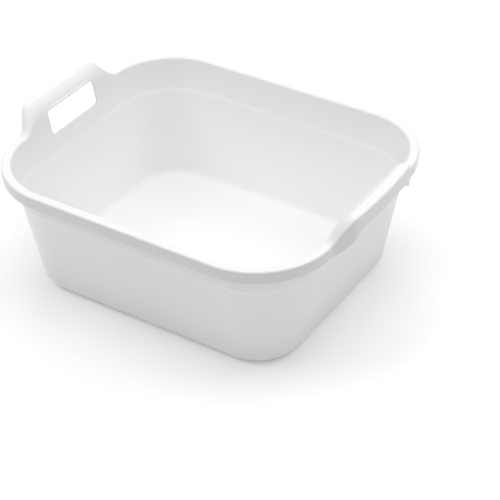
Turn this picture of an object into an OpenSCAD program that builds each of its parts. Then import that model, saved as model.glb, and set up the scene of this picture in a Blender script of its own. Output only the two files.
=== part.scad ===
// Rectangular washing up bowl in white plastic, with a raised grip at each end.
// The origin is on the standing plane under the middle of the bowl.
// X runs along the bowl from grip to grip, Y across it and Z up.
// Every section is drawn with u, the distance outward from the centre of a rim
// corner, and z, the height. The straight sides use the same section.

/* [Bowl] */
// Length over the rim, without the reach of the grips
rim_length = 390; // [350:1:430]
// Width over the rim
rim_width = 335; // [320:1:380]
// Height of the rim above the standing plane
rim_height = 145; // [125:1:170]
// Outer radius of the rim at the corners
corner_radius = 86; // [72:1:90]

/* [Walls] */
// Thickness of the side walls
wall_thickness = 2.2; // [1.6:0.1:2.8]
// Thickness of the floor
floor_thickness = 2.4; // [1.8:0.1:3.2]
// Angle by which the walls lean outward, in degrees
wall_draft = 10.2; // [6:0.1:12]
// Outer radius between the floor and the walls
heel_radius = 11; // [7:0.5:16]
// How far the stacking shoulder lies below the rim
shoulder_drop = 36; // [30:1:50]
// How far the wall steps outward at the shoulder
shoulder_step = 1.5; // [0.8:0.1:2]
// Height over which the wall takes that step
shoulder_rise = 3; // [2:0.5:5]

/* [Foot] */
// How far the foot ring stands below the floor
foot_height = 0.8; // [0.5:0.1:2]
// Width of the foot ring
foot_width = 7; // [4:0.5:12]
// Distance of the foot ring from the edge of the flat floor
foot_margin = 3; // [1:0.5:8]

/* [Rim] */
// Width of the flat top of the rim
flange_width = 11; // [9:0.5:13]
// Thickness of the rim's flat top
flange_thickness = 2.2; // [1.6:0.1:2.6]
// Depth of the skirt that hangs from the rim
skirt_depth = 14; // [11:0.5:17]
// Thickness of the skirt
skirt_thickness = 2; // [1.5:0.1:2.4]
// How far the lower edge of the skirt is drawn in
skirt_draw_in = 1; // [0:0.1:1.5]
// Radius of the rim's outer edge
outer_edge_radius = 2; // [1:0.1:2.2]
// Radius of the edge between the rim and the inside
inner_edge_radius = 2.6; // [2.4:0.1:3]

/* [Grips] */
// How far the top of a grip stands above the rim
grip_rise = 23; // [18:0.5:28]
// How far the middle of a grip reaches out past the rim
grip_reach = 16; // [8:0.5:20]
// How far the outer edge of a grip bows back from its middle to its bends
grip_bow = 2.5; // [0:0.5:5]
// Run along the end wall over which the rim bends up to the grip
grip_bend = 28; // [22:0.5:34]
// Radius by which the end wall curves outward under the top of a grip
grip_roll = 27; // [22:0.5:29]
// Angle, from upright, that the curved wall has turned through at the brow
brow_turn = 52; // [46:1:56]
// Radius of the brow, the edge between that curve and the grip's flat top
brow_radius = 2; // [1:0.1:2.4]
// Depth of the skirt under the middle of a grip
grip_skirt_depth = 18; // [15:0.5:24]
// How much nearer to the middle the hem of the skirt starts to rise
hem_shift = 5; // [2:0.5:8]
// Run along the end wall over which the hem rises
hem_bend = 38; // [30:0.5:44]

/* [Finger slot] */
// Width of the slot through a grip
slot_width = 80; // [64:1:84]
// Height of the slot along the leaning wall
slot_height = 28; // [20:0.5:29]
// How far the lower edge of the slot lies below the rim
slot_drop = 16.5; // [16:0.5:18.5]
// Radius of the slot's corners
slot_radius = 4.5; // [3:0.5:8]
// Width of the bead that stiffens the wall along the slot's upper edge
bead_width = 3.2; // [2.4:0.1:4]
// How far the bead stands proud of the wall
bead_rise = 0.8; // [0.4:0.1:1.2]

/* [Hidden] */
// White plastic, with the side walls a shade greyer than the rim
rim_white = [0.96, 0.96, 0.95];
wall_white = [0.89, 0.89, 0.88];

// Facets in a full turn of every round
$fn = 96;
// Reach past a surface that makes a cut clean
cut = 1;
// Depth of the slot's cut, which passes the wall and its curve but not the skirt
slot_depth = 10;

// Half lengths of the straight runs between the corners
half_x = rim_length / 2 - corner_radius;
half_y = rim_width / 2 - corner_radius;

// The inner face of the wall meets the level of the rim here
mouth_u = corner_radius - flange_width;
wall_across = wall_thickness / cos(wall_draft);
shoulder_z = rim_height - shoulder_drop;
skirt_z = rim_height - skirt_depth;

// Steps of a lofted grip: from its middle to the hem's rise, along that rise,
// up to the bead, across it, on to the brow, round the brow and the outer edge
middle_steps = 8;
bend_steps = 20;
low_steps = 3;
bead_steps = 6;
high_steps = 5;
brow_steps = 3;
edge_steps = 4;

// Inner face above the shoulder, and below it
function inner_u(z) = mouth_u - (rim_height - z) * tan(wall_draft);
function lower_u(z) = inner_u(z) - shoulder_step;

function unit(v) = v / norm(v);

// The two tangent points and the centre of a round at corner p between a and b
function round_at(a, p, b, r) =
    let (da = unit(a - p))
    let (db = unit(b - p))
    let (half = acos(da * db) / 2)
    let (reach = r / tan(half))
    [p + da * reach, p + db * reach, p + unit(da + db) * r / sin(half)];

function neighbour(points, i, step) = points[(i + step + len(points)) % len(points)];

// A polygon with true arcs at its convex corners, one radius for each corner
module rounded_polygon(points, radii) {
    rounds = [
        for (i = [0 : len(points) - 1])
            round_at(neighbour(points, i, -1), points[i], neighbour(points, i, 1), radii[i])
    ];
    polygon([for (i = [0 : len(points) - 1]) each [rounds[i][0], rounds[i][1]]]);
    for (i = [0 : len(points) - 1]) {
        if (radii[i] > 0) {
            translate(rounds[i][2]) circle(r = radii[i]);
        }
    }
}

// What one side of the lower wall holds, from the floor up to top_z.
// The across value moves the face outward and base_z is the floor's level.
module wall_fill(across, base_z, round_radius, top_z) {
    rounded_polygon(
        [
            [0, base_z],
            [lower_u(base_z) + across, base_z],
            [lower_u(shoulder_z - shoulder_rise) + across, shoulder_z - shoulder_rise],
            [inner_u(shoulder_z) + across, shoulder_z],
            [inner_u(top_z) + across, top_z],
            [0, top_z]
        ],
        [0, round_radius, 0, 0, 0, 0]
    );
}

floor_top = foot_height + floor_thickness;
heel_inner_radius = heel_radius - wall_thickness;

// Centre of the round with the given radius where a face meets the level base_z
function heel_u(across, base_z, r) =
    lower_u(base_z + r) + across - r / cos(wall_draft);

// The flat floor ends where the first of its two rounds begins
floor_u = min(
    heel_u(wall_across, foot_height, heel_radius),
    heel_u(0, floor_top, heel_inner_radius)
);

// Section of the wall with its heel, up to the level of the skirt's lower edge
module wall_section() {
    difference() {
        wall_fill(wall_across, foot_height, heel_radius, skirt_z);
        wall_fill(0, floor_top, heel_inner_radius, skirt_z + cut);
        square([floor_u, floor_top]);
    }
}

// The end walls stop at the shoulder, cut square to their lean
module end_wall_section() {
    top_in = [inner_u(shoulder_z), shoulder_z];
    top_out = top_in + wall_thickness * [cos(wall_draft), -sin(wall_draft)];
    difference() {
        wall_section();
        polygon([
            top_in,
            top_out,
            [corner_radius, top_out.y],
            [corner_radius, rim_height],
            [0, rim_height],
            [0, shoulder_z]
        ]);
    }
}

// Section of the rim: the top of the wall, the flat flange and the hanging skirt
module rim_section() {
    difference() {
        rounded_polygon(
            [
                [inner_u(skirt_z), skirt_z],
                [corner_radius - skirt_draw_in, skirt_z],
                [corner_radius, rim_height],
                [mouth_u, rim_height]
            ],
            [0, 0, outer_edge_radius, inner_edge_radius]
        );
        polygon([
            [inner_u(skirt_z - cut) + wall_across, skirt_z - cut],
            [corner_radius - skirt_draw_in - skirt_thickness, skirt_z - cut],
            [corner_radius - skirt_draw_in - skirt_thickness, skirt_z],
            [corner_radius - skirt_thickness, rim_height - flange_thickness],
            [inner_u(rim_height - flange_thickness) + wall_across, rim_height - flange_thickness]
        ]);
    }
}

// Distance from the middle to the corner centres, along a side's outward
// direction and across it. Turn 0 faces +X, 90 the back, 180 -X and 270 the front.
function side_reach(turn) = turn % 180 == 0 ? half_x : half_y;
function side_half(turn) = turn % 180 == 0 ? half_y : half_x;

// Carries a section along the straight run of the side that faces turn
module straight_run(turn) {
    rotate([0, 0, turn]) translate([side_reach(turn), 0, 0])
        rotate([90, 0, 0]) linear_extrude(2 * side_half(turn), center = true) children();
}

// Turns a section round the corner that follows that side anticlockwise
module round_corner(turn) {
    rotate([0, 0, turn]) translate([side_reach(turn), side_half(turn), 0])
        rotate_extrude(angle = 90) children();
}

// Outline with round corners, grown by r from the rectangle of the corner centres
module grown_outline(r) {
    square([2 * (half_x + r), 2 * half_y], center = true);
    square([2 * half_x, 2 * (half_y + r)], center = true);
    for (x = [-half_x, half_x], y = [-half_y, half_y]) {
        translate([x, y]) circle(r = r);
    }
}

module floor_panel() {
    color(wall_white)
        translate([0, 0, foot_height]) linear_extrude(floor_thickness) grown_outline(floor_u);
}

module foot_ring() {
    color(wall_white) linear_extrude(foot_height) difference() {
        grown_outline(floor_u - foot_margin);
        grown_outline(floor_u - foot_margin - foot_width);
    }
}

module front_wall() {
    color(wall_white) straight_run(270) wall_section();
}

module back_wall() {
    color(wall_white) straight_run(90) wall_section();
}

module left_end_wall() {
    color(wall_white) straight_run(180) end_wall_section();
}

module right_end_wall() {
    color(wall_white) straight_run(0) end_wall_section();
}

module front_left_corner() {
    color(wall_white) round_corner(180) wall_section();
}

module front_right_corner() {
    color(wall_white) round_corner(270) wall_section();
}

module back_left_corner() {
    color(wall_white) round_corner(90) wall_section();
}

module back_right_corner() {
    color(wall_white) round_corner(0) wall_section();
}

module front_rim() {
    color(rim_white) straight_run(270) rim_section();
}

module back_rim() {
    color(rim_white) straight_run(90) rim_section();
}

module front_left_rim_corner() {
    color(rim_white) round_corner(180) rim_section();
}

module front_right_rim_corner() {
    color(rim_white) round_corner(270) rim_section();
}

module back_left_rim_corner() {
    color(rim_white) round_corner(90) rim_section();
}

module back_right_rim_corner() {
    color(rim_white) round_corner(0) rim_section();
}

// The rim bends up to each grip along a smooth S that starts at the end wall's
// own ends. The share is 0 at the rim and 1 on the grip.
grip_top = half_y - grip_bend;
hem_top = half_y - hem_shift - hem_bend;
function rise_u(y, top, run) = min(1, max(0, (top + run - abs(y)) / run));
function rise_share(y, top, run) =
    let (t = rise_u(y, top, run))
    t * t * (3 - 2 * t);
function grip_share(y) = rise_share(y, grip_top, grip_bend);
function grip_slope(y) =
    let (t = rise_u(y, grip_top, grip_bend))
    6 * t * (1 - t) / grip_bend;

function top_z(y) = rim_height + grip_rise * grip_share(y);
function edge_u(y) = corner_radius + grip_share(y) * (grip_reach - grip_bow * pow(y / grip_top, 2));
function hem_z(y) =
    skirt_z + (grip_rise + skirt_depth - grip_skirt_depth) * rise_share(y, hem_top, hem_bend);
function roll_r(y) = inner_edge_radius + (grip_roll - inner_edge_radius) * grip_share(y);
function brow_r(y) = inner_edge_radius + (brow_radius - inner_edge_radius) * grip_share(y);
brow_angle = wall_draft + brow_turn;

// A sheet that slopes along the wall is measured square to its slope
function flange_drop(y) = flange_thickness * norm([1, grip_rise * grip_slope(y)]);
function skirt_across(y) = skirt_thickness * norm([1, grip_reach * grip_slope(y)]);

// The wall's curve is tangent to the wall at the join and to the brow's round,
// which is tangent to the top. Each has its centre as u and z.
function spread_r(y) = roll_r(y) - brow_r(y);
function roll_z(y) = top_z(y) - brow_r(y) - spread_r(y) * sin(brow_angle);
function join_z(y) = roll_z(y) + roll_r(y) * sin(wall_draft);
function roll_u(y) = inner_u(join_z(y)) + roll_r(y) * cos(wall_draft);
function brow_u(y) = roll_u(y) - spread_r(y) * cos(brow_angle);

// Under the top, the curve's inner side stops at the underside of the flange
function under_r(y) = roll_r(y) - wall_thickness;
function under_angle(y) = asin(min(1, (top_z(y) - flange_drop(y) - roll_z(y)) / under_r(y)));

// The bead lies on the curve, just over the slot
slot_low = (shoulder_drop - slot_drop) / cos(wall_draft);
slot_high = slot_low + slot_height;
bead_z = shoulder_z + (slot_high + bead_width / 2) * cos(wall_draft);
bead_angle = asin(sin(wall_draft) + (bead_z - join_z(0)) / grip_roll);
bead_half_angle = bead_width / 2 / grip_roll * 180 / PI;
bead_end = slot_width / 2 - slot_radius;
function bead_proud(a, y) =
    let (across = min(1, abs(a - bead_angle) / bead_half_angle))
    let (along = min(1, max(0, (abs(y) - bead_end + bead_width) / bead_width)))
    bead_rise * (1 + cos(180 * across)) / 2 * (1 + cos(180 * along)) / 2;

function steps_between(from, to, steps, first) =
    [for (i = [first : steps]) from + (to - from) * i / steps];

bead_low = bead_angle - bead_half_angle;
bead_high = bead_angle + bead_half_angle;
roll_angles = concat(
    steps_between(wall_draft, bead_low, low_steps, 0),
    steps_between(bead_low, bead_high, bead_steps, 1),
    steps_between(bead_high, brow_angle, high_steps, 1)
);
roll_steps = len(roll_angles) - 1 + brow_steps;

function around(u, z, r, a) = [u - r * cos(a), z + r * sin(a)];

// Closed section of a grip's rail at y: up the curve, round the brow, over the
// top, down the skirt, and back under the top to the wall
function rail_section(y) =
    concat(
        [for (a = roll_angles) around(roll_u(y), roll_z(y), roll_r(y) + bead_proud(a, y), a)],
        [
            for (a = steps_between(brow_angle, 90, brow_steps, 1))
                around(brow_u(y), top_z(y) - brow_r(y), brow_r(y), a)
        ],
        [
            for (a = steps_between(0, 90, edge_steps, 0))
                [
                    edge_u(y) - outer_edge_radius * (1 - sin(a)),
                    top_z(y) - outer_edge_radius * (1 - cos(a))
                ]
        ],
        [
            [edge_u(y) - skirt_draw_in, hem_z(y)],
            [edge_u(y) - skirt_draw_in - skirt_across(y), hem_z(y)],
            [edge_u(y) - skirt_across(y), top_z(y) - flange_drop(y)]
        ],
        [
            for (a = steps_between(under_angle(y), wall_draft, roll_steps, 0))
                around(roll_u(y), roll_z(y), under_r(y), a)
        ]
    );

// Places along half an end wall at which the rail's section is drawn
rail_half = concat(
    steps_between(0, hem_top, middle_steps, 0),
    steps_between(hem_top, half_y, bend_steps, 1)
);
rail_stations = concat([for (i = [len(rail_half) - 1 : -1 : 1]) -rail_half[i]], rail_half);

// Faces that close a ring of n points, as quads from its outer to its inner side
function cap_faces(n) =
    let (corner = n - roll_steps - 2)
    concat(
        [for (i = [0 : roll_steps]) [i, i + 1, n - 2 - i, n - 1 - i]],
        [for (i = [1 : edge_steps]) [roll_steps + i, roll_steps + i + 1, corner]],
        [[corner - 3, corner - 2, corner - 1, corner]]
    );

function backward(face) = [for (i = [len(face) - 1 : -1 : 0]) face[i]];

module grip_loft() {
    rings = [for (y = rail_stations) [for (p = rail_section(y)) [p.x, y, p.y]]];
    n = len(rings[0]);
    last = len(rings) - 1;
    polyhedron(
        points = [for (ring = rings) each ring],
        faces = concat(
            cap_faces(n),
            [for (face = cap_faces(n)) [for (i = backward(face)) last * n + i]],
            [
                for (k = [0 : last - 1], i = [0 : n - 1])
                    let (j = (i + 1) % n)
                    each [
                        [k * n + i, (k + 1) * n + i, (k + 1) * n + j],
                        [k * n + i, (k + 1) * n + j, k * n + j]
                    ]
            ]
        )
    );
}

// The slot passes square through the leaning wall, in part through the rail.
// Both are drawn in the wall's own plane, from the shoulder up.
function slant(z) = (z - shoulder_z) / cos(wall_draft);

module along_wall() {
    translate([inner_u(shoulder_z), 0, shoulder_z])
        rotate([0, wall_draft, 0]) rotate([90, 0, 90]) children();
}

module slot_outline() {
    half_w = slot_width / 2;
    rounded_polygon(
        [[-half_w, slot_low], [half_w, slot_low], [half_w, slot_high], [-half_w, slot_high]],
        [slot_radius, slot_radius, slot_radius, slot_radius]
    );
}

module grip_rail() {
    difference() {
        grip_loft();
        along_wall() translate([0, 0, -cut]) linear_extrude(slot_depth) slot_outline();
    }
}

module grip_panel() {
    along_wall() linear_extrude(wall_thickness) difference() {
        polygon(concat(
            [[half_y, 0], [-half_y, 0]],
            [for (y = rail_stations) [y, slant(join_z(y))]]
        ));
        slot_outline();
    }
}

module right_grip_panel() {
    color(wall_white) translate([half_x, 0, 0]) grip_panel();
}

module left_grip_panel() {
    color(wall_white) mirror([1, 0, 0]) translate([half_x, 0, 0]) grip_panel();
}

module right_grip_rail() {
    color(rim_white) translate([half_x, 0, 0]) grip_rail();
}

module left_grip_rail() {
    color(rim_white) mirror([1, 0, 0]) translate([half_x, 0, 0]) grip_rail();
}

floor_panel();
foot_ring();
front_wall();
back_wall();
left_end_wall();
right_end_wall();
front_left_corner();
front_right_corner();
back_left_corner();
back_right_corner();
front_rim();
back_rim();
front_left_rim_corner();
front_right_rim_corner();
back_left_rim_corner();
back_right_rim_corner();
left_grip_panel();
right_grip_panel();
left_grip_rail();
right_grip_rail();
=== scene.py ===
"""White washing up bowl with a raised grip at each end, dressed for rendering."""

from math import asin, atan2, cos, hypot, pi, radians, sin, sqrt, tan

import bmesh
import bpy
from bpy.props import FloatProperty, FloatVectorProperty, IntProperty, PointerProperty
from bpy.types import Operator, Panel, PropertyGroup
from mathutils import Matrix, Vector


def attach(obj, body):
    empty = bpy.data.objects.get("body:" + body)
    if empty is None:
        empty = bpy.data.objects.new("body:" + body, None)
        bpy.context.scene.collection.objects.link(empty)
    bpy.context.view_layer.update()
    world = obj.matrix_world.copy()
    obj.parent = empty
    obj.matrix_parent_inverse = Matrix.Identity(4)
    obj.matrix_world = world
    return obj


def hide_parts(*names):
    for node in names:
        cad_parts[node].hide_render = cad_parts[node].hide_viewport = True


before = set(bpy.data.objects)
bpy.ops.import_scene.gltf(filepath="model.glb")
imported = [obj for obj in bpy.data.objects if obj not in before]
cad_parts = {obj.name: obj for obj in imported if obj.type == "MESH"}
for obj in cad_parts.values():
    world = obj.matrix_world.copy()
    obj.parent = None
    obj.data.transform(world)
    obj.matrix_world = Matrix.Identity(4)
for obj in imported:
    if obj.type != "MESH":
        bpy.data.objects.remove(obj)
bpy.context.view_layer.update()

bl_info = {
    "name": "Washing Up Bowl",
    "version": (1, 0, 0),
    "blender": (4, 5, 0),
    "location": "View3D > Sidebar > Bowl",
    "description": "Builds a moulded washing up bowl with two raised grips",
    "category": "Object",
}

MM = 0.001
BODY = "root"
# Where the wall's curve and the rim's outer edge stand among the section's corners, the facets
# of that curve, and the corners between which the skirt hangs free of the wall, where painted
# shade darkens the plastic's colour
CURVE = 4
EDGE = 6
CURVE_STEPS = 56
PAINTED_SHADE_CORNERS = {7: 1, 8: 1, 9: 1}
# The share of the curve's full radius that leaves room for the brow's round beside it
CURVE_FILL = 0.985
# The share of the shoulder's slope that the round at each end of it takes up
SHOULDER_FILL = 0.46
# Radii under the flange: by the skirt, by the wall, and how much the latter grows under a grip
SKIRT_ROOT = 0.8 * MM
WALL_ROOT = 1 * MM
GRIP_ROOT_GROWTH = 19 * MM
# From this angle an edge is shaded as a true edge
SHARP = radians(34)
FOOT_EDGE = 0.3 * MM
GATE_RADII = (3 * MM, 4 * MM)
GATE_DEPTH = 0.4 * MM
# How far the slot's cutter starts before the wall, and the distance below which two points of
# the cut are one
CUT_LEAD = 3 * MM
MERGE = 0.001 * MM

STAGE_HALF = 6
STAGE_DROP = 0.2 * MM
# From the first distance to the second, a camera or a reflection sees the floor lifted by a
# painted glow, from little above its own white to plain white
STAGE_FADE = (("From Min", 0.26), ("From Max", 0.66), ("To Min", 0.16), ("To Max", 1))
# Level of the room's light by height, from straight down at 0 to straight up at 1
ROOM_LEVELS = ((0.42, 0.22), (0.58, 1), (0.8, 1), (0.93, 0))
ROOM_STRENGTH = 0.8
LAMP_SIZE = 1.4
# Name, place in metres and power in watts
LAMPS = (
    ("Overhead", (0, 0, 2.28), 14.8),
    ("Back left", (-0.97, 1.49, 1.3), 4.5),
    ("Front left", (-1.08, -0.91, 1.77), 8),
    ("Back right", (1.08, 0.91, 1.77), 8),
)


def length(name, description, default):
    """A size in metres, shown in the scene's unit of length."""
    return FloatProperty(name=name, description=description, default=default * MM, unit="LENGTH",
                         min=0.0, precision=4)


class BowlShape(PropertyGroup):
    """Sizes of the moulding."""

    rim_length: length("Rim length", "Length over the rim, without the reach of the grips", 390)
    rim_width: length("Rim width", "Width over the rim", 335)
    rim_height: length("Rim height", "Height of the rim above the standing plane", 145)
    corner_radius: length("Corner radius", "Outer radius of the rim at the corners", 86)
    wall_thickness: length("Wall thickness", "Thickness of the side walls", 2.2)
    floor_thickness: length("Floor thickness", "Thickness of the floor", 2.4)
    wall_draft: FloatProperty(name="Wall draft", description="Angle by which the walls lean out",
                              default=radians(10.2), subtype="ANGLE")
    heel_radius: length("Heel radius", "Outer radius between the floor and the walls", 11)
    shoulder_drop: length("Shoulder drop", "How far the stacking shoulder lies below the rim", 36)
    shoulder_step: length("Shoulder step", "How far the wall steps outward at the shoulder", 1.5)
    shoulder_rise: length("Shoulder rise", "Height over which the wall takes that step", 3)
    foot_height: length("Foot height", "How far the foot ring stands below the floor", 0.8)
    foot_width: length("Foot width", "Width of the foot ring", 7)
    foot_margin: length("Foot margin", "From the edge of the flat floor to the foot ring", 3)
    flange_width: length("Flange width", "Width of the flat top of the rim", 11)
    flange_thickness: length("Flange thickness", "Thickness of the rim's flat top", 2.2)
    skirt_depth: length("Skirt depth", "Depth of the skirt that hangs from the rim", 14)
    skirt_thickness: length("Skirt thickness", "Thickness of the skirt", 2)
    skirt_draw_in: length("Skirt draw in", "How far the skirt's lower edge is drawn in", 1)
    outer_edge_radius: length("Outer edge radius", "Radius of the rim's outer edge", 2)
    inner_edge_radius: length("Inner edge radius", "Radius between the rim and the inside", 2.6)
    grip_rise: length("Grip rise", "How far the top of a grip stands above the rim", 23)
    grip_reach: length("Grip reach", "How far the middle of a grip reaches out past the rim", 16)
    grip_bow: length("Grip bow", "How far a grip's edge bows back towards its bends", 2.5)
    grip_bend: length("Grip bend", "Run over which the rim bends up to the grip", 28)
    grip_roll: length("Grip roll", "Radius by which the end wall curves outward under a grip", 27)
    brow_turn: FloatProperty(name="Brow turn", description="Angle that the curved wall has turned "
                             "through at the brow", default=radians(52), subtype="ANGLE")
    brow_radius: length("Brow radius", "Radius between that curve and the grip's flat top", 2)
    grip_skirt_depth: length("Grip skirt depth", "Depth of the skirt under a grip", 18)
    hem_shift: length("Hem shift", "How much nearer to the middle the hem starts to rise", 5)
    hem_bend: length("Hem bend", "Run over which the hem rises", 38)
    slot_width: length("Slot width", "Width of the slot through a grip", 80)
    slot_height: length("Slot height", "Height of the slot along the leaning wall", 28)
    slot_drop: length("Slot drop", "How far the slot's lower edge lies below the rim", 16.5)
    slot_radius: length("Slot radius", "Radius of the slot's corners", 4.5)
    bead_width: length("Bead width", "Width of the bead along the slot's upper edge", 3.2)
    bead_rise: length("Bead rise", "How far the bead stands proud of the wall", 0.8)
    soft_edge: length("Soft edge", "Radius of the hem's and the slot's edges", 0.5)


class BowlFinish(PropertyGroup):
    """Colour and surface of the plastic, and the painted shade on its skirt."""

    plastic: FloatVectorProperty(name="Plastic", description="Colour of the plastic",
                                 subtype="COLOR", size=3, min=0, max=1, default=(0.95, 0.95, 0.946))
    roughness: FloatProperty(name="Roughness", description="Roughness of the moulded surface",
                             default=0.34, min=0, max=1)
    # Painted shade: how much the skirt's colour is darkened below the wall's
    skirt_shade: FloatProperty(name="Painted skirt shade", description="How much darker the skirt is than "
                               "the wall", default=0.17, min=0, max=1, subtype="FACTOR")
    corner_steps: IntProperty(name="Corner steps", description="Facets round each corner",
                              default=64, min=8)


# The section of the bowl


class Sizes:
    """The shape's sizes with the levels and distances that follow from them."""

    def __init__(self, shape):
        for name in BowlShape.__annotations__:
            setattr(self, name, getattr(shape, name))
        self.half_x = self.rim_length / 2 - self.corner_radius
        self.half_y = self.rim_width / 2 - self.corner_radius
        self.mouth_u = self.corner_radius - self.flange_width
        self.wall_across = self.wall_thickness / cos(self.wall_draft)
        self.shoulder_z = self.rim_height - self.shoulder_drop
        self.skirt_z = self.rim_height - self.skirt_depth
        self.floor_top = self.foot_height + self.floor_thickness
        self.heel_inner_radius = self.heel_radius - self.wall_thickness
        self.floor_u = min(
            self.heel_u(self.wall_across, self.foot_height, self.heel_radius),
            self.heel_u(0, self.floor_top, self.heel_inner_radius),
        ) - 0.5 * MM
        self.grip_top = self.half_y - self.grip_bend
        self.hem_top = self.half_y - self.hem_shift - self.hem_bend
        self.brow_angle = self.wall_draft + self.brow_turn
        self.slot_low = (self.shoulder_drop - self.slot_drop) / cos(self.wall_draft)
        self.slot_high = self.slot_low + self.slot_height
        join_z = self.wall_curve(self.rim_height + self.grip_rise, 1)[3]
        self.curve_start = (join_z - self.shoulder_z) / cos(self.wall_draft)
        bead_z = self.shoulder_z + (self.slot_high + self.bead_width / 2) * cos(self.wall_draft)
        self.bead_angle = asin(sin(self.wall_draft) + (bead_z - join_z) / self.grip_roll)
        self.bead_end = self.slot_width / 2 - self.slot_radius

    def inner_u(self, z):
        """Inner face of the wall above the shoulder."""
        return self.mouth_u - (self.rim_height - z) * tan(self.wall_draft)

    def lower_u(self, z):
        """Inner face of the wall below the shoulder."""
        return self.inner_u(z) - self.shoulder_step

    def heel_u(self, across, base_z, radius):
        """Where the round between the floor and a wall face begins."""
        return self.lower_u(base_z + radius) + across - radius / cos(self.wall_draft)

    def grip_share(self, y):
        return smooth_share(y, self.grip_top, self.grip_bend)

    def grip_slope(self, y):
        t = clear_share(y, self.grip_top, self.grip_bend)
        return 6 * t * (1 - t) / self.grip_bend

    def wall_curve(self, top, share):
        """The curve under a grip's top: its radius, the brow's radius, and where it leaves the
        wall."""
        roll = self.inner_edge_radius + (self.grip_roll - self.inner_edge_radius) * share
        brow = self.inner_edge_radius + (self.brow_radius - self.inner_edge_radius) * share
        middle_z = top - brow - (roll - brow) * sin(self.brow_angle)
        join_z = middle_z + roll * sin(self.wall_draft)
        return roll, brow, self.inner_u(join_z), join_z

    def bead_proud(self, share, y):
        """How far the bead lifts the curve, at a share of its turn."""
        angle = self.wall_draft + self.brow_turn * share
        across = min(1, abs(angle - self.bead_angle) * self.grip_roll / (self.bead_width / 2))
        along = min(1, max(0, (abs(y) - self.bead_end + self.bead_width) / self.bead_width))
        return self.bead_rise * (1 + cos(pi * across)) / 2 * (1 + cos(pi * along)) / 2

    def corners(self, y=None):
        """Corners of the closed section as (u, z, radius, segments). On an end run, y is the
        place along it, where the rim bends up to the grip."""
        share = 0 if y is None else self.grip_share(y)
        slope = 0 if y is None else self.grip_slope(y)
        hem_share = 0 if y is None else smooth_share(y, self.hem_top, self.hem_bend)
        top = self.rim_height + self.grip_rise * share
        reach = self.grip_reach - self.grip_bow * ((y or 0) / self.grip_top) ** 2
        edge = self.corner_radius + share * reach
        hem = self.skirt_z + (self.grip_rise + self.skirt_depth - self.grip_skirt_depth) * hem_share
        roll, brow, join_u, join_z = self.wall_curve(top, share)
        curve_reach = roll * tan(self.brow_turn / 2)
        brow_reach = curve_reach + brow * tan((pi / 2 - self.brow_angle) / 2)
        curve_u = join_u + curve_reach * sin(self.wall_draft)
        curve_z = join_z + curve_reach * cos(self.wall_draft)
        under = top - self.flange_thickness * hypot(1, self.grip_rise * slope)
        across = self.skirt_thickness * hypot(1, self.grip_reach * slope)
        step_z = self.shoulder_z - self.shoulder_rise
        turn = atan2(self.inner_u(self.shoulder_z) - self.lower_u(step_z), self.shoulder_rise)
        slope_length = hypot(self.shoulder_rise, self.shoulder_step)
        soft = SHOULDER_FILL * slope_length / tan((turn - self.wall_draft) / 2)
        return [
            (self.floor_u, self.floor_top, 0, 0),
            (self.lower_u(self.floor_top), self.floor_top, self.heel_inner_radius, 10),
            (self.lower_u(step_z), step_z, soft, 6),
            (self.inner_u(self.shoulder_z), self.shoulder_z, soft, 6),
            (curve_u, curve_z, roll * CURVE_FILL, CURVE_STEPS),
            (curve_u + brow_reach * sin(self.brow_angle), top, brow, 4),
            (edge, top, self.outer_edge_radius, 6),
            (edge - self.skirt_draw_in, hem, self.soft_edge, 3),
            (edge - self.skirt_draw_in - across, hem, self.soft_edge, 3),
            (edge - across, under, SKIRT_ROOT, 3),
            (self.inner_u(under) + self.wall_across, under,
             WALL_ROOT + GRIP_ROOT_GROWTH * share, 12),
            (self.inner_u(self.shoulder_z) + self.wall_across, self.shoulder_z, soft, 6),
            (self.lower_u(step_z) + self.wall_across, step_z, soft, 6),
            (self.lower_u(self.foot_height) + self.wall_across, self.foot_height,
             self.heel_radius, 10),
            (self.floor_u, self.foot_height, 0, 0),
        ]


def clear_share(y, top, run):
    return min(1, max(0, (top + run - abs(y)) / run))


def smooth_share(y, top, run):
    """0 at the rim and 1 on the grip, along a smooth S."""
    t = clear_share(y, top, run)
    return t * t * (3 - 2 * t)


def round_at(before, corner, after, radius):
    """Centre and the first and last direction of the round at a corner."""
    point = Vector(corner)
    to_before = (Vector(before) - point).normalized()
    to_after = (Vector(after) - point).normalized()
    half = to_before.angle(to_after) / 2
    centre = point + (to_before + to_after).normalized() * radius / sin(half)
    reach = radius / tan(half)
    return centre, point + to_before * reach - centre, point + to_after * reach - centre, reach


def section_point(corners, place, share, proud=0):
    """The point at a share of the round at one corner, moved outward by proud."""
    u, z, radius, _ = corners[place]
    if not radius:
        return Vector((u, z))
    before, after = corners[place - 1][:2], corners[(place + 1) % len(corners)][:2]
    centre, first, last, _ = round_at(before, (u, z), after, radius)
    sweep = first.angle_signed(last)
    return centre + Matrix.Rotation(-sweep * share, 2) @ first * (1 + proud / radius)


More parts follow.
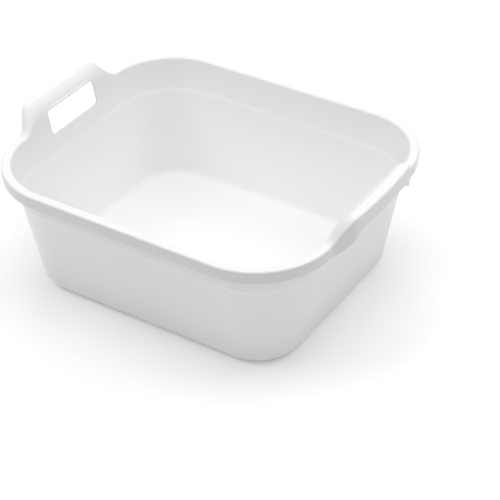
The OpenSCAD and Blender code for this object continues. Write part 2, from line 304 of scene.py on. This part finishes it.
def section_face(bm, sizes, y=None):
    """Draws the section in the XZ plane as one face, each corner rounded by a bevel. Every
    vertex remembers its corner, its share of the round, and how much painted shade darkens the
    skirt's colour there."""
    place_layer = bm.verts.layers.int.new("place")
    share_layer = bm.verts.layers.float.new("share")
    # How much painted shade darkens the plastic's colour at each vertex, highest on the skirt
    painted_shade_layer = bm.verts.layers.float.new("hang")
    corners = sizes.corners(y)
    verts = [bm.verts.new((u, 0, z)) for u, z, _, _ in corners]
    face = bm.faces.new(verts)
    for place, vert in enumerate(verts):
        vert[place_layer] = place
        vert[painted_shade_layer] = PAINTED_SHADE_CORNERS.get(place, 0)
    for place, (u, z, radius, segments) in enumerate(corners):
        if not radius:
            continue
        before, after = corners[place - 1][:2], corners[(place + 1) % len(corners)][:2]
        centre, first, last, reach = round_at(before, (u, z), after, radius)
        made = bmesh.ops.bevel(bm, geom=[verts[place]], offset=reach, offset_type="OFFSET",
                               affect="VERTICES", segments=segments, profile=0.5, material=-1)
        sweep = first.angle_signed(last)
        for vert in made["verts"]:
            turned = first.angle_signed(Vector((vert.co.x, vert.co.z)) - centre)
            vert[place_layer] = place
            vert[share_layer] = round(turned / sweep * segments) / segments
            vert[painted_shade_layer] = vert[share_layer] if place == EDGE else PAINTED_SHADE_CORNERS.get(place, 0)
    return bm.faces[:][0]


def whole(face):
    """A face with its edges and vertices, as an extrusion needs them to leave nothing inside."""
    return [face, *face.edges, *face.verts]


def points_of(made):
    """The vertices among what an operator made."""
    return [item for item in made if isinstance(item, bmesh.types.BMVert)]


def finish_solid(bm):
    """Turns all faces outward and leaves only true edges sharp."""
    bmesh.ops.recalc_face_normals(bm, faces=bm.faces[:])
    for face in bm.faces:
        face.smooth = True
    for edge in bm.edges:
        edge.smooth = edge.calc_face_angle(0) < SHARP


def add_piece(bm, name, nodes, material, weighted=True):
    """Makes the piece's object, which rides on the body and stands for its CAD nodes."""
    mesh = bpy.data.meshes.new(name)
    bm.to_mesh(mesh)
    bm.free()
    piece = bpy.data.objects.new(name, mesh)
    bpy.context.scene.collection.objects.link(piece)
    mesh.materials.append(material)
    if weighted:
        normals = piece.modifiers.new("Even shading", "WEIGHTED_NORMAL")
        normals.mode = "FACE_AREA"
        normals.weight = 50
        normals.keep_sharp = True
    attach(piece, BODY)
    if nodes:
        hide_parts(*nodes)
    return piece


# Material


def node_group(name, inputs, outputs):
    """An empty shader group with its inputs and outputs as (name, socket type, default)."""
    group = bpy.data.node_groups.new(name, "ShaderNodeTree")
    for direction, sockets in (("INPUT", inputs), ("OUTPUT", outputs)):
        for label, kind, default in sockets:
            socket = group.interface.new_socket(label, in_out=direction, socket_type=kind)
            if default is not None:
                socket.default_value = default
    return group, group.nodes.new("NodeGroupInput"), group.nodes.new("NodeGroupOutput")


def moulded_skin():
    """Slow waves and fine grain of a moulded surface, as a roughness, a tone that the colour is
    multiplied by, and a height."""
    if "Moulded skin" in bpy.data.node_groups:
        return bpy.data.node_groups["Moulded skin"]
    group, given, result = node_group(
        "Moulded skin",
        [("Vector", "NodeSocketVector", None), ("Grain scale", "NodeSocketFloat", 900.0),
         ("Wave scale", "NodeSocketFloat", 22.0), ("Roughness", "NodeSocketFloat", 0.34),
         ("Spread", "NodeSocketFloat", 0.05)],
        [("Roughness", "NodeSocketFloat", None), ("Tone", "NodeSocketFloat", None),
         ("Height", "NodeSocketFloat", None)],
    )
    nodes, links = group.nodes, group.links

    def noise(scale, detail):
        made = nodes.new("ShaderNodeTexNoise")
        made.inputs["Detail"].default_value = detail
        links.new(given.outputs["Vector"], made.inputs["Vector"])
        links.new(given.outputs[scale], made.inputs["Scale"])
        return made.outputs["Fac"]

    def maths(operation, *values):
        made = nodes.new("ShaderNodeMath")
        made.operation = operation
        for socket, value in zip(made.inputs, values):
            if isinstance(value, (int, float)):
                socket.default_value = value
            else:
                links.new(value, socket)
        return made.outputs[0]

    grain, waves = noise("Grain scale", 3), noise("Wave scale", 2)
    swing = maths("MULTIPLY_ADD", maths("SUBTRACT", waves, 0.5), given.outputs["Spread"],
                  given.outputs["Roughness"])
    links.new(swing, result.inputs["Roughness"])
    links.new(maths("MULTIPLY_ADD", waves, -0.012, 1.006), result.inputs["Tone"])
    links.new(maths("MULTIPLY_ADD", grain, 0.25, waves), result.inputs["Height"])
    return group


def plastic_material(name, finish):
    """Satin white polypropylene, with painted shade that darkens its colour on the skirt, as it
    looks in the photograph.
    """
    if name in bpy.data.materials:
        return bpy.data.materials[name]
    material = bpy.data.materials.new(name)
    material.use_nodes = True
    nodes, links = material.node_tree.nodes, material.node_tree.links
    shader = nodes["Principled BSDF"]
    place = nodes.new("ShaderNodeTexCoord")
    skin = nodes.new("ShaderNodeGroup")
    skin.node_tree = moulded_skin()
    skin.inputs["Roughness"].default_value = finish.roughness
    links.new(place.outputs["Object"], skin.inputs["Vector"])
    links.new(skin.outputs["Roughness"], shader.inputs["Roughness"])
    bump = nodes.new("ShaderNodeBump")
    bump.inputs["Strength"].default_value = 0.05
    bump.inputs["Distance"].default_value = 0.0002
    links.new(skin.outputs["Height"], bump.inputs["Height"])
    links.new(bump.outputs["Normal"], shader.inputs["Normal"])
    # Painted shade: where the vertices mark the skirt, its colour is darkened by the skirt shade
    hang = nodes.new("ShaderNodeAttribute")
    hang.attribute_name = "hang"
    shade = nodes.new("ShaderNodeMath")
    shade.operation = "MULTIPLY_ADD"
    shade.inputs[1].default_value = -finish.skirt_shade
    shade.inputs[2].default_value = 1
    links.new(hang.outputs["Fac"], shade.inputs[0])
    # The colour's factor: the random tone of the moulded skin times the painted shade on the skirt
    tone = nodes.new("ShaderNodeMath")
    tone.operation = "MULTIPLY"
    links.new(shade.outputs[0], tone.inputs[0])
    links.new(skin.outputs["Tone"], tone.inputs[1])
    colour = nodes.new("ShaderNodeMix")
    colour.data_type = "RGBA"
    colour.blend_type = "MULTIPLY"
    colour.inputs["Factor"].default_value = 1
    colour.inputs["A"].default_value = (*finish.plastic, 1)
    links.new(tone.outputs[0], colour.inputs["B"])
    links.new(colour.outputs["Result"], shader.inputs["Base Color"])
    shader.inputs["IOR"].default_value = 1.49
    return material


def current():
    """The sizes, the finish and the plastic of the scene."""
    scene = bpy.context.scene
    finish = scene.bowl_finish
    return Sizes(scene.bowl_shape), finish, plastic_material("White plastic", finish)


# Operators


class BOWL_OT_floor(Operator):
    """Add the flat floor panel"""

    bl_idname = "bowl.add_floor"
    bl_label = "Floor"

    def execute(self, context):
        sizes, finish, plastic = current()
        bm = bmesh.new()
        floor_outline(bm, sizes, sizes.floor_u, finish.corner_steps)
        lift = bmesh.ops.extrude_face_region(bm, geom=bm.faces[:])
        bmesh.ops.translate(bm, verts=points_of(lift["geom"]), vec=(0, 0, sizes.floor_thickness))
        bmesh.ops.translate(bm, verts=bm.verts[:], vec=(0, 0, sizes.foot_height))
        finish_solid(bm)
        add_piece(bm, "floor_panel_moulding", ["floor_panel"], plastic, weighted=False)
        return {"FINISHED"}


def floor_outline(bm, sizes, radius, steps):
    """A flat face with round corners about the bowl's four corner centres."""
    bmesh.ops.create_grid(bm, x_segments=1, y_segments=1, size=1)
    bmesh.ops.scale(bm, vec=(sizes.half_x + radius, sizes.half_y + radius, 1), verts=bm.verts[:])
    bmesh.ops.bevel(bm, geom=bm.verts[:], offset=radius, offset_type="OFFSET",
                    affect="VERTICES", segments=steps, profile=0.5, material=-1)


class BOWL_OT_foot(Operator):
    """Add the low foot ring on which the bowl stands, and the gate mark inside it"""

    bl_idname = "bowl.add_foot"
    bl_label = "Foot ring"

    def execute(self, context):
        sizes, finish, plastic = current()
        bm = bmesh.new()
        floor_outline(bm, sizes, sizes.floor_u - sizes.foot_margin, finish.corner_steps)
        middle = bm.faces[:]
        bmesh.ops.inset_region(bm, faces=middle, thickness=sizes.foot_width, use_even_offset=True,
                               use_boundary=True)
        bmesh.ops.delete(bm, geom=middle, context="FACES_ONLY")
        lift = bmesh.ops.extrude_face_region(bm, geom=bm.faces[:])
        bmesh.ops.translate(bm, verts=points_of(lift["geom"]), vec=(0, 0, sizes.foot_height))
        lower = [e for e in bm.edges if max(v.co.z for v in e.verts) < 0.1 * MM
                 and e.calc_face_angle(0) > radians(60)]
        bmesh.ops.bevel(bm, geom=lower, offset=FOOT_EDGE, offset_type="OFFSET", affect="EDGES",
                        segments=3, profile=0.5, material=-1)
        finish_solid(bm)
        add_piece(bm, "foot_ring_moulding", ["foot_ring"], plastic)
        bm = bmesh.new()
        place = Matrix.Translation((0, 0, sizes.foot_height - GATE_DEPTH / 2))
        bmesh.ops.create_cone(bm, cap_ends=True, segments=32, radius1=GATE_RADII[0],
                              radius2=GATE_RADII[1], depth=GATE_DEPTH, matrix=place)
        finish_solid(bm)
        add_piece(bm, "gate_mark", [], plastic)
        return {"FINISHED"}


class BOWL_OT_sides(Operator):
    """Add the long sides, each a straight run of wall, flange and skirt"""

    bl_idname = "bowl.add_sides"
    bl_label = "Long sides"

    def execute(self, context):
        sizes, _, plastic = current()
        for name, nodes, turn in (("front_side", ["front_wall", "front_rim"], 270),
                                  ("back_side", ["back_wall", "back_rim"], 90)):
            bm = bmesh.new()
            face = section_face(bm, sizes)
            extrude_along(bm, face, [-sizes.half_x, 0, sizes.half_x])
            bmesh.ops.translate(bm, verts=bm.verts[:], vec=(sizes.half_y, 0, 0))
            bmesh.ops.rotate(bm, verts=bm.verts[:], cent=(0, 0, 0),
                             matrix=Matrix.Rotation(radians(turn), 3, "Z"))
            finish_solid(bm)
            add_piece(bm, name, nodes, plastic)
        return {"FINISHED"}


def extrude_along(bm, face, stations):
    """Extrudes the section along Y through every station."""
    bmesh.ops.translate(bm, verts=face.verts[:], vec=(0, stations[0], 0))
    for here, there in zip(stations, stations[1:]):
        made = bmesh.ops.extrude_face_region(bm, geom=whole(face))["geom"]
        bmesh.ops.translate(bm, verts=points_of(made), vec=(0, there - here, 0))
        face = next(f for f in made if isinstance(f, bmesh.types.BMFace))
    return face


class BOWL_OT_corners(Operator):
    """Add the four round corners by spinning the section"""

    bl_idname = "bowl.add_corners"
    bl_label = "Corners"

    def execute(self, context):
        sizes, finish, plastic = current()
        for turn, name in ((0, "back_right"), (90, "back_left"), (180, "front_left"),
                           (270, "front_right")):
            bm = bmesh.new()
            face = section_face(bm, sizes)
            bmesh.ops.spin(bm, geom=whole(face), cent=(0, 0, 0), axis=(0, 0, 1), angle=pi / 2,
                           steps=finish.corner_steps)
            along, across = (sizes.half_x, sizes.half_y)
            if turn % 180:
                along, across = across, along
            bmesh.ops.translate(bm, verts=bm.verts[:], vec=(along, across, 0))
            bmesh.ops.rotate(bm, verts=bm.verts[:], cent=(0, 0, 0),
                             matrix=Matrix.Rotation(radians(turn), 3, "Z"))
            finish_solid(bm)
            add_piece(bm, name + "_turn", [name + "_corner", name + "_rim_corner"], plastic)
        return {"FINISHED"}


class BOWL_OT_grips(Operator):
    """Add the two ends, where the rim bends up to a grip with a finger slot"""

    bl_idname = "bowl.add_grips"
    bl_label = "Grip ends"

    def execute(self, context):
        sizes, _, plastic = current()
        for side in ("right", "left"):
            bm = bmesh.new()
            face = section_face(bm, sizes)
            extrude_along(bm, face, grip_stations(sizes))
            place_layer = bm.verts.layers.int["place"]
            share_layer = bm.verts.layers.float["share"]
            drawn = {}
            for vert in bm.verts:
                y = vert.co.y
                if y not in drawn:
                    drawn[y] = sizes.corners(y)
                place, share = vert[place_layer], vert[share_layer]
                proud = sizes.bead_proud(share, y) if place == CURVE else 0
                spot = section_point(drawn[y], place, share, proud)
                vert.co = (spot.x, y, spot.y)
            bm = cut_away(bm, slot_cutter(sizes))
            bmesh.ops.translate(bm, verts=bm.verts[:], vec=(sizes.half_x, 0, 0))
            if side == "left":
                bmesh.ops.scale(bm, verts=bm.verts[:], vec=(-1, 1, 1))
            finish_solid(bm)
            add_piece(bm, side + "_grip_end",
                      [side + "_end_wall", side + "_grip_panel", side + "_grip_rail"], plastic)
        return {"FINISHED"}


def grip_stations(sizes):
    """Places along an end at which its section is drawn, closest together in the bends."""
    half = [0, 10 * MM, 20 * MM, 28 * MM]
    half += [sizes.bead_end - sizes.bead_width * (1 - step / 8) for step in range(9)]
    start, steps = sizes.hem_top, 40
    for step in range(steps + 1):
        half.append(start + (sizes.half_y - start) * sin(pi / 2 * step / steps))
    return [-y for y in reversed(half[1:])] + half


def slot_loop(bm, sizes, grow, depth):
    """One outline of the slot, grown all round, at a depth behind the leaning wall's inner
    face. Where the wall curves, the outline follows it."""
    half_w = sizes.slot_width / 2 + grow
    low, high = sizes.slot_low - grow, sizes.slot_high + grow
    bend = [sizes.curve_start + step * MM for step in (0, 1, 2)]
    points = ([(-half_w, low), (half_w, low)] + [(half_w, up) for up in bend]
              + [(half_w, high), (-half_w, high)] + [(-half_w, up) for up in reversed(bend)])
    verts = [bm.verts.new((0, y, up)) for y, up in points]
    bm.faces.new(verts)
    others = set(bm.verts) - set(verts)
    bmesh.ops.bevel(bm, geom=[verts[i] for i in (0, 1, 5, 6)], offset=sizes.slot_radius + grow,
                    offset_type="OFFSET", affect="VERTICES", segments=10, profile=0.5, material=-1)
    outline = [vert for vert in bm.verts if vert not in others]
    for vert in outline:
        past = max(0, vert.co.z - sizes.curve_start)
        vert.co.x = depth + sizes.grip_roll - sqrt(sizes.grip_roll ** 2 - past ** 2)
    face = next(f for f in bm.faces if f.verts[0] in outline)
    return face


def slot_cutter(sizes):
    """A solid that opens the slot and flares at both faces of the wall, so that the cut's edges
    come out rounded."""
    soft, wall = sizes.soft_edge, sizes.wall_thickness
    flare = [(soft, -CUT_LEAD)]
    for step in range(5):
        turn = radians(5 + 80 * step / 4)
        flare.append((soft * (1 - sin(turn)), soft * (1 - cos(turn))))
    flare += [(grow, wall - depth) for grow, depth in reversed(flare)]
    bm = bmesh.new()
    faces = [slot_loop(bm, sizes, grow, depth) for grow, depth in flare]
    loops = [list(face.edges) for face in faces]
    bmesh.ops.delete(bm, geom=faces[1:-1], context="FACES_ONLY")
    for here, there in zip(loops, loops[1:]):
        bmesh.ops.bridge_loops(bm, edges=here + there)
    bmesh.ops.recalc_face_normals(bm, faces=bm.faces[:])
    bmesh.ops.rotate(bm, verts=bm.verts[:], cent=(0, 0, 0),
                     matrix=Matrix.Rotation(sizes.wall_draft, 3, "Y"))
    bmesh.ops.translate(bm, verts=bm.verts[:],
                        vec=(sizes.inner_u(sizes.shoulder_z), 0, sizes.shoulder_z))
    return bm


def cut_away(bm, cutter):
    """Takes one closed mesh out of another with an exact Boolean, applied at once."""
    pair = []
    for name, source in (("cut_piece", bm), ("cutter", cutter)):
        bmesh.ops.recalc_face_normals(source, faces=source.faces[:])
        mesh = bpy.data.meshes.new(name)
        source.to_mesh(mesh)
        source.free()
        pair.append(bpy.data.objects.new(name, mesh))
        bpy.context.scene.collection.objects.link(pair[-1])
    cut = pair[0].modifiers.new("Slot", "BOOLEAN")
    cut.operation, cut.solver, cut.object = "DIFFERENCE", "EXACT", pair[1]
    result = bmesh.new()
    result.from_object(pair[0], bpy.context.evaluated_depsgraph_get())
    for spare in pair:
        mesh = spare.data
        bpy.data.objects.remove(spare)
        bpy.data.meshes.remove(mesh)
    bmesh.ops.remove_doubles(result, verts=result.verts[:], dist=MERGE)
    bmesh.ops.triangulate(result, faces=[face for face in result.faces if len(face.verts) > 4])
    return result


class BOWL_OT_stage(Operator):
    """Add the white floor, the soft lamps and the camera"""

    bl_idname = "bowl.add_stage"
    bl_label = "Stage"

    def execute(self, context):
        add_floor()
        add_lamps()
        add_camera()
        context.scene.view_settings.view_transform = "Standard"
        return {"FINISHED"}


def add_floor():
    """A white floor that keeps the bowl's shadow. A painted glow that a camera or a reflection sees
    is weak near the bowl and further out makes the floor plain white.
    """
    bm = bmesh.new()
    under = Matrix.Translation((0, 0, -STAGE_DROP))
    bmesh.ops.create_grid(bm, x_segments=2, y_segments=2, size=STAGE_HALF, matrix=under)
    mesh = bpy.data.meshes.new("studio_floor")
    bm.to_mesh(mesh)
    bm.free()
    floor = bpy.data.objects.new("studio_floor", mesh)
    bpy.context.scene.collection.objects.link(floor)
    material = bpy.data.materials.new("Studio floor")
    material.use_nodes = True
    nodes, links = material.node_tree.nodes, material.node_tree.links
    nodes.clear()
    output = nodes.new("ShaderNodeOutputMaterial")
    paper = nodes.new("ShaderNodeBsdfDiffuse")
    paper.inputs["Color"].default_value = (0.97, 0.97, 0.97, 1)
    # Painted glow: camera and glossy rays see the floor glow, weakly near the bowl and fully
    # further out
    glow = nodes.new("ShaderNodeEmission")
    rays = nodes.new("ShaderNodeLightPath")
    seen = nodes.new("ShaderNodeMath")
    seen.operation = "MAXIMUM"
    links.new(rays.outputs["Is Camera Ray"], seen.inputs[0])
    links.new(rays.outputs["Is Glossy Ray"], seen.inputs[1])
    place = nodes.new("ShaderNodeTexCoord")
    far = nodes.new("ShaderNodeVectorMath")
    far.operation = "LENGTH"
    links.new(place.outputs["Object"], far.inputs[0])
    white = nodes.new("ShaderNodeMapRange")
    white.interpolation_type = "SMOOTHSTEP"
    for name, value in STAGE_FADE:
        white.inputs[name].default_value = value
    links.new(far.outputs["Value"], white.inputs["Value"])
    lift = nodes.new("ShaderNodeMath")
    lift.operation = "MULTIPLY"
    links.new(white.outputs["Result"], lift.inputs[1])
    links.new(seen.outputs[0], lift.inputs[0])
    links.new(lift.outputs[0], glow.inputs["Strength"])
    both = nodes.new("ShaderNodeAddShader")
    links.new(paper.outputs[0], both.inputs[0])
    links.new(glow.outputs[0], both.inputs[1])
    links.new(both.outputs[0], output.inputs["Surface"])
    mesh.materials.append(material)


def add_lamps():
    """Four soft lamps in a pale room that is dimmer towards the floor. The one at the back left
    puts a sheen on the flat tops. A camera sees the room as plain white."""
    world = bpy.data.worlds.new("Pale room")
    bpy.context.scene.world = world
    world.use_nodes = True
    nodes, links = world.node_tree.nodes, world.node_tree.links
    back = nodes["Background"]
    back.inputs["Color"].default_value = (1, 1, 1, 1)
    place = nodes.new("ShaderNodeTexCoord")
    parts = nodes.new("ShaderNodeSeparateXYZ")
    ring = nodes.new("ShaderNodeValToRGB")
    ramp = ring.color_ramp
    ramp.interpolation = "EASE"
    while len(ramp.elements) < len(ROOM_LEVELS):
        ramp.elements.new(1)
    for stop, (height, level) in zip(ramp.elements, ROOM_LEVELS):
        stop.position = height
        stop.color = (level, level, level, 1)
    level = nodes.new("ShaderNodeMath")
    level.operation = "MULTIPLY"
    level.inputs[1].default_value = ROOM_STRENGTH
    rays = nodes.new("ShaderNodeLightPath")
    seen = nodes.new("ShaderNodeMath")
    seen.operation = "MAXIMUM"
    links.new(place.outputs["Generated"], parts.inputs[0])
    links.new(parts.outputs["Z"], ring.inputs["Fac"])
    links.new(ring.outputs["Color"], level.inputs[0])
    links.new(rays.outputs["Is Camera Ray"], seen.inputs[0])
    links.new(level.outputs[0], seen.inputs[1])
    links.new(seen.outputs[0], back.inputs["Strength"])
    for name, place, power in LAMPS:
        lamp = bpy.data.lights.new(name, "AREA")
        lamp.shape = "DISK"
        lamp.size = LAMP_SIZE
        lamp.energy = power
        holder = bpy.data.objects.new(name, lamp)
        holder.location = place
        holder.rotation_euler = (-Vector(place)).to_track_quat("-Z", "Y").to_euler()
        bpy.context.scene.collection.objects.link(holder)


def add_camera():
    """The camera stands where it was fitted to the photograph's outlines of rim and base."""
    lens = bpy.data.cameras.new("Camera")
    lens.sensor_width = 36
    lens.lens = 117.14
    lens.clip_start = 0.05
    camera = bpy.data.objects.new("Camera", lens)
    right = Vector((0.8434, 0.5371, -0.0142)).normalized()
    forward = Vector((-0.4401, 0.6754, -0.5917)).normalized()
    up = right.cross(forward).normalized()
    right = forward.cross(up).normalized()
    turn = Matrix((right, up, -forward)).transposed().to_4x4()
    camera.matrix_world = Matrix.Translation((0.8246, -1.1933, 1.0799)) @ turn
    bpy.context.scene.collection.objects.link(camera)
    bpy.context.scene.camera = camera


class BOWL_PT_sidebar(Panel):
    """Sizes, finish and building steps of the bowl"""

    bl_idname = "BOWL_PT_sidebar"
    bl_label = "Washing Up Bowl"
    bl_space_type = "VIEW_3D"
    bl_region_type = "UI"
    bl_category = "Bowl"

    def draw(self, context):
        for group in (context.scene.bowl_shape, context.scene.bowl_finish):
            column = self.layout.column(align=True)
            for name in group.__annotations__:
                column.prop(group, name)
        for step in STEPS:
            self.layout.operator(step.bl_idname)


STEPS = (BOWL_OT_floor, BOWL_OT_foot, BOWL_OT_sides, BOWL_OT_corners, BOWL_OT_grips, BOWL_OT_stage)
CLASSES = (BowlShape, BowlFinish, *STEPS, BOWL_PT_sidebar)


def register():
    for cls in CLASSES:
        bpy.utils.register_class(cls)
    bpy.types.Scene.bowl_shape = PointerProperty(type=BowlShape)
    bpy.types.Scene.bowl_finish = PointerProperty(type=BowlFinish)


def unregister():
    del bpy.types.Scene.bowl_finish
    del bpy.types.Scene.bowl_shape
    for cls in reversed(CLASSES):
        bpy.utils.unregister_class(cls)


def main():
    register()
    bpy.ops.bowl.add_floor()
    bpy.ops.bowl.add_foot()
    bpy.ops.bowl.add_sides()
    bpy.ops.bowl.add_corners()
    bpy.ops.bowl.add_grips()
    bpy.ops.bowl.add_stage()


if __name__ == "__main__":
    main()
